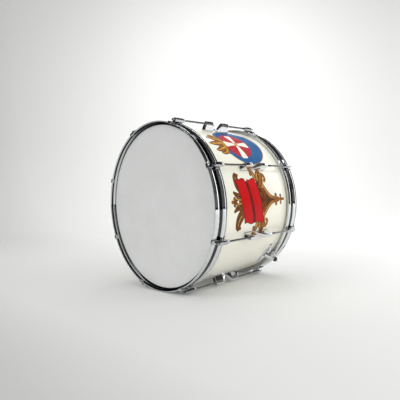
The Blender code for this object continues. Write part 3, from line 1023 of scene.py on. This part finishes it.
def smoothLine(knots, steps=8):
    # curve through knots of (x, y, width)
    line = []
    for index in range(len(knots) - 1):
        before = Vector(knots[max(index - 1, 0)])
        start = Vector(knots[index])
        end = Vector(knots[index + 1])
        after = Vector(knots[min(index + 2, len(knots) - 1)])
        for step in range(steps):
            t = step / steps
            line.append(0.5 * (2 * start + (end - before) * t
                               + (2 * before - 5 * start + 4 * end - after) * t ** 2
                               + (3 * start - before - 3 * end + after) * t ** 3))
    line.append(Vector(knots[-1]))
    return line


def stroke(knots, extra=0.0, share=1.0):
    # brush stroke of changing width along a curve
    line = smoothLine(knots)
    bm = bmesh.new()
    bmesh.ops.create_grid(bm, x_segments=1, y_segments=len(line) - 1, size=1)
    for vert in bm.verts:
        index = round((vert.co.y + 1) / 2 * (len(line) - 1))
        ahead = line[min(index + 1, len(line) - 1)] - line[max(index - 1, 0)]
        across = Vector((-ahead.y, ahead.x)).normalized()
        half = (line[index].z * share + extra) / 2
        side = copysign(1, vert.co.x)
        place = Vector(line[index][:2]) + across * half * side
        if extra and index == 0:
            place -= Vector(ahead[:2]).normalized() * extra / 2
        if extra and index == len(line) - 1:
            place += Vector(ahead[:2]).normalized() * extra / 2
        vert.co = (place.x, place.y, 0)
    bmesh.ops.recalc_face_normals(bm, faces=bm.faces)
    return bm


def dots(spots, grow=0.0):
    # discs at (x, y, radius)
    return [patch(ellipse((x, y), (radius + grow,) * 2, 20)) for x, y, radius in spots]


def curls(strokes, grow=0.0):
    # round end for each stroke that ends in a scroll
    ends = [knots[-1] for knots in strokes if knots[-1][2] >= decorSettings["curlWidth"]]
    return dots([(x, y, width * decorSettings["curl"]) for x, y, width in ends], grow)


def paint(name, shapes, angle, coat, material):
    # several flat shapes, each laid on by itself, as one piece
    bm = bmesh.new()
    for shape in shapes:
        mesh = bpy.data.meshes.new("coat")
        layOn(shape, angle, coat).to_mesh(mesh)
        shape.free()
        bm.from_mesh(mesh)
        bpy.data.meshes.remove(mesh)
    makePiece(name, bm, material, "drum", sharp=60)


def petal(middle, length, heading, width):
    turn = radians(heading)
    ends = list(crestSettings["petalFoot"])
    ends += [(length + beyond, half) for beyond, half in crestSettings["petalTip"]]
    points = [(distance, half * width / 2) for distance, half in ends]
    outline = points + [(distance, -half) for distance, half in points[-2::-1]]
    return [(middle[0] + x * cos(turn) - y * sin(turn), middle[1] + x * sin(turn) + y * cos(turn))
            for x, y in outline]


def mirrored(strokes):
    # the same strokes again on the other side of the panel's middle line
    return strokes + [[(x, -y, width) for x, y, width in knots] for knots in strokes]


crestSettings = dict(
    angle=44.5,
    beltMiddle=(20, 0),
    beltReach=(96, 88),
    beltRim=2.2,
    field=(0, 4),
    fieldReach=58,
    heartReach=8,
    petals=((76, 0, 54), (76, 90, 60), (76, 180, 50), (76, 270, 50)),
    # places along a petal, from its foot and from its length, with shares of its width
    petalFoot=((6, 0.13), (20, 0.18), (34, 0.26)),
    petalTip=((-8, 0.34), (-3, 0.33), (0, 0.25), (1, 0.12), (-1, 0)),
    sprays=[
        [(-50, 2, 12), (-74, 4, 22), (-98, 6, 17), (-115, 7, 4)],
        [(-48, -10, 10), (-70, -16, 20), (-90, -22, 15), (-106, -24, 4)],
        [(-48, 14, 10), (-70, 24, 20), (-90, 33, 15), (-106, 36, 4)],
        [(-56, -20, 9), (-68, -32, 13), (-82, -37, 9), (-92, -36, 3)],
        [(-56, 28, 9), (-68, 41, 13), (-82, 47, 9), (-92, 46, 3)],
        [(-64, -36, 10), (-60, -14, 12), (-59, 6, 13), (-60, 28, 12), (-64, 48, 10)],
    ],
)


def makeCrest():
    look = crestSettings
    belt = Vector(look["beltReach"])
    rim = Vector((1, 1)) * look["beltRim"]
    field = look["field"]
    petals = [petal(field, length, heading, width) for width, heading, length in look["petals"]]
    sprays = look["sprays"]
    coats = [
        ("Edge", [patch(ellipse(look["beltMiddle"], belt))], 0, paleGold),
        ("Belt", [patch(ellipse(look["beltMiddle"], belt - rim))], 1, deepBlue),
        ("Field", [patch(ellipse(field, (look["fieldReach"],) * 2))], 4, fadedRed),
        ("Petals", [patch(outline) for outline in petals], 5, cream),
        ("Heart", [patch(ellipse(field, (look["heartReach"],) * 2, 32))], 6, paleGold),
        ("SprayShade", [stroke(knots, extra=decorSettings["shade"]) for knots in sprays], 4, umber),
        ("Spray", [stroke(knots) for knots in sprays], 5, oldGold),
        ("SprayLight", [stroke(knots, share=decorSettings["light"]) for knots in sprays], 6, paleGold),
    ]
    for name, shapes, coat, material in coats:
        paint("crest" + name, shapes, look["angle"], coat, material)


# strokes are lists of (x, y, width); those that are mirrored are given for one side only
panelSettings = dict(
    angle=90.0,
    halves=[(4, 59), (20, 58), (31, 45), (42, 31), (54, 20), (68, 11), (84, 7), (108, 5), (120, 4)],
    scrolls=[
        [(20, -36, 18), (29, -58, 18), (36, -77, 13), (46, -77, 9), (50, -66, 7), (46, -60, 5)],
        [(15, -60, 13), (17, -76, 14), (22, -88, 11), (30, -90, 7), (32, -83, 5)],
        [(1, -60, 13), (1, -76, 13), (-4, -88, 10), (-12, -88, 7), (-13, -80, 5)],
        [(29, -46, 13), (41, -29, 13), (54, -17, 11), (68, -9, 9), (84, -5, 7), (102, -3, 6)],
    ],
    tail=[
        [(-70, -30, 22), (-84, -44, 18), (-90, -60, 12), (-90, -74, 8), (-84, -81, 5)],
        [(-72, -46, 15), (-78, -58, 13), (-81, -70, 9), (-76, -78, 5)],
        [(-72, -12, 20), (-87, -16, 16), (-98, -22, 10), (-106, -28, 4)],
    ],
    frontSpine=[
        [(60, 0, 16), (84, 0, 11), (104, 0, 8), (122, 0, 6), (131, 0, 3)],
        [(92, -13, 5), (93, 0, 7), (92, 13, 5)],
        [(117, -12, 4), (118, 0, 5), (117, 12, 4)],
    ],
    rearSpine=[
        [(-72, 0, 24), (-90, 0, 17), (-102, 0, 10), (-112, 0, 3)],
        [(-70, -48, 18), (-74, 0, 22), (-70, 48, 18)],
    ],
    knobs=[(92, -14, 4.6), (92, 14, 4.6), (117, -12, 3.4), (117, 12, 3.4), (131, 0, 3.2),
           (-104, -9, 4.5), (-104, 9, 4.5), (-113, 0, 4.0)],
    leaves=[
        [(18, -44, 5), (26, -34, 9), (35, -20, 8), (40, -6, 3)],
        [(30, -38, 4), (41, -28, 7), (52, -15, 6), (60, -4, 3)],
        [(14, -24, 5), (22, -17, 8), (30, -8, 6), (34, -2, 3)],
    ],
    creases=[
        [(24, -42, 3), (33, -60, 4), (40, -73, 3), (46, -70, 2)],
        [(18, -62, 3), (20, -76, 3), (26, -87, 2)],
        [(-76, -34, 3), (-87, -50, 4), (-88, -68, 2)],
        [(-74, -12, 4), (-88, -16, 3), (-100, -22, 2)],
        [(-74, -48, 3), (-79, -60, 3), (-79, -72, 2)],
    ],
    lights=[
        [(27, -38, 4), (36, -57, 4), (42, -72, 3), (47, -68, 2)],
        [(13, -62, 3), (15, -76, 4), (20, -87, 2)],
        [(0, -62, 3), (0, -76, 4), (-6, -87, 2)],
        [(34, -43, 4), (44, -29, 4), (57, -16, 3), (76, -8, 2)],
        [(-73, -40, 3), (-83, -53, 3), (-86, -70, 2)],
        [(-76, -5, 3), (-90, -7, 3), (-101, -10, 2)],
    ],
    slant=0.24,
    ribbons=(("ribbonFront", -53, 38), ("ribbonRear", -4, 36)),
    ribbonReach=64.5,
    ribbonRim=2.0,
    wave=3.0,
    fold=(-28, 15),
    foldEnds=(-60, 0, 66),
)


def makePanel():
    look = panelSettings
    halves = look["halves"]
    body = [patch([(near, -low), (far, -high), (far, high), (near, low)])
            for (near, low), (far, high) in zip(halves, halves[1:])]
    scrolls = mirrored(look["scrolls"])
    tail = mirrored(look["tail"])
    spine = look["frontSpine"] + look["rearSpine"]
    shade = decorSettings["shade"]
    shades = [stroke(knots, extra=shade) for knots in scrolls + tail + spine]
    shades += curls(scrolls + tail, shade / 2) + dots(look["knobs"], shade / 2)
    gold = [stroke(knots) for knots in scrolls + look["frontSpine"]]
    gold += curls(scrolls) + dots(look["knobs"])
    coats = [
        ("panelBody", body, 0, umber),
        ("panelShade", shades, 0, umber),
        ("panelGold", gold, 1, oldGold),
        ("panelTail", [stroke(knots) for knots in tail + look["rearSpine"]] + curls(tail), 1, bronze),
    ]
    for name, strokes, coat, material in (("panelLeaves", look["leaves"], 1, bronze),
                                          ("panelCrease", look["creases"], 2, umber),
                                          ("panelLight", look["lights"], 3, paleGold)):
        coats.append((name, [stroke(knots) for knots in mirrored(strokes)], coat, material))
    reach = look["ribbonReach"]
    for name, middle, width in look["ribbons"]:
        for label, grow, coat, material in (("Edge", look["ribbonRim"], 4, darkRed), ("", 0, 5, bannerRed)):
            outline = ribbonOutline(middle, width / 2 + grow, reach + grow)
            coats.append((name + label, [patch(outline)], coat, material))
    foldMiddle, foldWidth = look["fold"]
    fold = [(foldMiddle + look["slant"] * y, y, foldWidth) for y in look["foldEnds"]]
    coats.append(("ribbonFold", [stroke(fold)], 3, darkRed))
    for name, shapes, coat, material in coats:
        paint(name, shapes, look["angle"], coat, material)


def ribbonOutline(middle, half, reach):
    # slanted band with gently waved ends
    points = []
    for end in (-1, 1):
        for step in range(9):
            x = (step / 8 * 2 - 1) * half * -end
            y = end * reach + panelSettings["wave"] * sin(pi * step / 4)
            points.append((middle + x + panelSettings["slant"] * y, y))
    return points


oldGold = enamelFinish("oldGold", (0.13, 0.040, 0.004), (0.40, 0.16, 0.022), 110)
bronze = enamelFinish("bronze", (0.10, 0.022, 0.003), (0.22, 0.075, 0.010), 90)
paleGold = enamelFinish("paleGold", (0.42, 0.20, 0.04), (0.62, 0.36, 0.10), 70)
umber = enamelFinish("umber", (0.055, 0.012, 0.002), (0.12, 0.035, 0.006), 80)
deepBlue = enamelFinish("deepBlue", (0.012, 0.075, 0.22), (0.025, 0.13, 0.32), 40)
bannerRed = enamelFinish("bannerRed", (0.46, 0.001, 0.003), (0.54, 0.001, 0.003), 25)
darkRed = enamelFinish("darkRed", (0.09, 0.003, 0.002), (0.18, 0.006, 0.004), 60)
fadedRed = enamelFinish("fadedRed", (0.36, 0.018, 0.028), (0.46, 0.03, 0.045), 40)
cream = enamelFinish("cream", (0.78, 0.72, 0.60), (0.86, 0.83, 0.76), 60)

makeCrest()
makePanel()
print("decoration painted")


# stage, light and camera

stageSettings = dict(
    floorColor=(0.83, 0.835, 0.82),
    floorReach=9.0,
    floorRoughness=0.85,
    wallDistance=3.6,
    wallHeight=6.0,
    bend=1.2,
    bendSteps=12,
    # painted shade on the paper: its colour grows paler from front to back, standing in for the light's
    # falloff towards the front
    paperStart=-1.0,
    paperEnd=2.0,
    paperShadeTones=((0.0, 0.45), (1.0, 1.20), (0.10, 0.56), (0.17, 0.74), (0.40, 0.88), (0.6, 1.06)),
)
# cards curved round the drum: start and end angles, distance, foot, top, grey tone, glow
cardSettings = dict(
    room_0=(-155, -75, 2.2, 0.0, 1.5, 0.02, 0),
    room_1=(-75, -20, 2.2, 0.0, 1.5, 0.16, 0),
    room_2=(-20, 8, 2.2, 0.0, 1.5, 0.10, 0),
    room_3=(8, 56, 2.2, 0.0, 1.5, 0.02, 0),
    room_4=(78, 100, 2.2, 0.0, 1.5, 0.22, 0),
    strip=(56, 78, 2.2, 0.0, 1.5, 0.8, 1.4),         # tall and pale, for the beads to mirror
    skirting=(-20, 55, 2.15, 0.0, 0.1, 0.01, 0),
    greyBoard=(8, 55, 2.15, 0.1, 0.62, 0.14, 0),
    paleBand=(68, 104, 2.25, 1.3, 2.1, 0.5, 0.4),
    upperFront=(-180, 30, 2.3, 1.3, 3.5, 0.08, 0),
    upperRear=(30, 104, 2.3, 1.3, 3.5, 0.015, 0),
)
ceilingSettings = dict(reach=3.6, height=3.4, tone=0.04)
# place, aim, size, power, seen in reflections, casts a shadow
lampSettings = dict(
    sideSoft=((2.4, 0.8, 2.0), (0, 0, 0.3), (1.6, 1.2), 20, True, True),
    overhead=((0.1, 0.4, 3.0), (0.1, 0.4, 0), (3.0, 3.0), 36, False, False),
    wallWash=((-0.8, 1.7, 2.8), (-2.2, 2.4, 0.7), (1.6, 1.0), 14, True, True),
    frontSoft=((-0.6, -2.4, 2.2), (0, 0, 0.3), (1.2, 1.2), 22, True, True),
    lowSoft=((2.4, -0.4, 0.5), (0, 0, 0.25), (1.4, 0.8), 13, False, True),
)
worldSettings = dict(ambient=0.60, seen=(0.93, 0.94, 0.93))
cameraSettings = dict(azimuth=46.6, roll=3.7, lens=33.2, sensor=36, place=(0.9347, -0.8809, 0.2776))


def viewAxes():
    # level directions away from the camera and to its right
    azimuth = radians(cameraSettings["azimuth"])
    return Vector((-sin(azimuth), cos(azimuth), 0)), Vector((cos(azimuth), sin(azimuth), 0))


def makeStage():
    # floor that curves up into a wall, behind the drum as the camera sees it
    back, across = viewAxes()
    reach = stageSettings["floorReach"]
    wall = stageSettings["wallDistance"]
    bend = stageSettings["bend"]
    profile = [(-reach, 0), (wall - bend, 0)]
    steps = stageSettings["bendSteps"]
    for step in range(1, steps + 1):
        angle = pi / 2 * step / steps
        profile.append((wall - bend + bend * sin(angle), bend - bend * cos(angle)))
    profile.append((wall, stageSettings["wallHeight"]))
    bm = bmesh.new()
    verts = [bm.verts.new(back * far - across * reach + Vector((0, 0, up))) for far, up in profile]
    edges = [bm.edges.new(pair) for pair in zip(verts, verts[1:])]
    grown = bmesh.ops.extrude_edge_only(bm, edges=edges)
    far = [item for item in grown["geom"] if isinstance(item, bmesh.types.BMVert)]
    bmesh.ops.translate(bm, vec=across * 2 * reach, verts=far)
    mesh = bpy.data.meshes.new("sweep")
    bm.to_mesh(mesh)
    bm.free()
    mesh.shade_smooth()
    material = newMaterial("sweepPaint", stageSettings["floorColor"], stageSettings["floorRoughness"])
    # painted shade: the floor's colour is darkened towards the front, for the light's falloff
    place = addNode(material, "ShaderNodeTexCoord")
    split = addNode(material, "ShaderNodeSeparateXYZ")
    ramp = addNode(material, "ShaderNodeValToRGB")
    span = addNode(material, "ShaderNodeMapRange")
    span.inputs["From Min"].default_value = stageSettings["paperStart"]
    span.inputs["From Max"].default_value = stageSettings["paperEnd"]
    link(material, place.outputs["Object"], split.inputs["Vector"])
    link(material, split.outputs["Y"], span.inputs["Value"])
    link(material, span.outputs["Result"], ramp.inputs["Fac"])
    link(material, ramp.outputs["Color"], shaderOf(material).inputs["Base Color"])
    for index, (position, share) in enumerate(stageSettings["paperShadeTones"]):
        stops = ramp.color_ramp.elements
        point = stops[index] if index < 2 else stops.new(position)
        point.position = position
        point.color = (*[value * share for value in stageSettings["floorColor"]], 1)
    mesh.materials.append(material)
    sweep = bpy.data.objects.new("sweep", mesh)
    bpy.context.scene.collection.objects.link(sweep)


def addCard(name, bm, tone, glow):
    # a card that is seen only in reflections
    mesh = bpy.data.meshes.new(name)
    bm.to_mesh(mesh)
    bm.free()
    material = newMaterial(name + "Cloth", (tone, tone, tone), 0.9)
    shaderOf(material).inputs["Emission Color"].default_value = (1, 1, 1, 1)
    shaderOf(material).inputs["Emission Strength"].default_value = glow
    mesh.materials.append(material)
    card = bpy.data.objects.new(name, mesh)
    bpy.context.scene.collection.objects.link(card)
    card.visible_camera = False
    card.visible_diffuse = False
    card.visible_shadow = False


def makeCard(name, start, end, distance, low, high, tone, glow):
    bm = bmesh.new()
    first = Vector((cos(radians(start)), sin(radians(start)), 0)) * distance
    verts = [bm.verts.new(first + Vector((0, 0, height))) for height in (low, high)]
    edge = bm.edges.new(verts)
    bmesh.ops.spin(bm, geom=verts + [edge], cent=(0, 0, 0), axis=(0, 0, 1),
                   angle=radians(end - start), steps=24)
    addCard(name, bm, tone, glow)


def makeCeiling():
    bm = bmesh.new()
    bmesh.ops.create_grid(bm, x_segments=1, y_segments=1, size=ceilingSettings["reach"])
    bmesh.ops.translate(bm, vec=(0, 0, ceilingSettings["height"]), verts=bm.verts)
    addCard("ceiling", bm, ceilingSettings["tone"], 0)


def makeLamp(name, place, aim, size, power, glossy, shadow):
    light = bpy.data.lights.new(name, "AREA")
    light.shape = "RECTANGLE"
    light.size, light.size_y = size
    light.energy = power
    light.use_shadow = shadow
    lamp = bpy.data.objects.new(name, light)
    lamp.visible_glossy = glossy
    lamp.location = place
    lamp.rotation_euler = (Vector(aim) - Vector(place)).to_track_quat("-Z", "Y").to_euler()
    bpy.context.scene.collection.objects.link(lamp)


def makeWorld():
    world = bpy.data.worlds.new("studio")
    world.use_nodes = True
    nodes = world.node_tree.nodes
    links = world.node_tree.links
    plain = nodes["Background"]
    plain.inputs["Color"].default_value = (1, 1, 1, 1)
    plain.inputs["Strength"].default_value = worldSettings["ambient"]
    seen = nodes.new("ShaderNodeBackground")
    seen.inputs["Color"].default_value = (*worldSettings["seen"], 1)
    seen.inputs["Strength"].default_value = 1.0
    mix = nodes.new("ShaderNodeMixShader")
    rays = nodes.new("ShaderNodeLightPath").outputs
    seenBy = rays["Is Camera Ray"]
    for kind in ("Is Glossy Ray", "Is Transmission Ray"):
        either = nodes.new("ShaderNodeMath")
        either.operation = "MAXIMUM"
        links.new(seenBy, either.inputs[0])
        links.new(rays[kind], either.inputs[1])
        seenBy = either.outputs[0]
    links.new(seenBy, mix.inputs[0])
    links.new(plain.outputs[0], mix.inputs[1])
    links.new(seen.outputs[0], mix.inputs[2])
    links.new(mix.outputs[0], nodes["World Output"].inputs["Surface"])
    bpy.context.scene.world = world


def makeCamera():
    forward, right = viewAxes()
    up = Vector((0, 0, 1))
    roll = radians(cameraSettings["roll"])
    across = right * cos(roll) - up * sin(roll)
    upright = right * sin(roll) + up * cos(roll)
    data = bpy.data.cameras.new("camera")
    data.lens = cameraSettings["lens"]
    data.sensor_width = cameraSettings["sensor"]
    camera = bpy.data.objects.new("camera", data)
    turn = Matrix((across, upright, -forward)).transposed().to_4x4()
    camera.matrix_world = Matrix.Translation(cameraSettings["place"]) @ turn
    bpy.context.scene.collection.objects.link(camera)
    bpy.context.scene.camera = camera


makeStage()
for name, card in cardSettings.items():
    makeCard(name, *card)
makeCeiling()
for name, lamp in lampSettings.items():
    makeLamp(name, *lamp)
makeWorld()
makeCamera()
bpy.context.scene.view_settings.view_transform = "Standard"
print("stage, light and camera made")
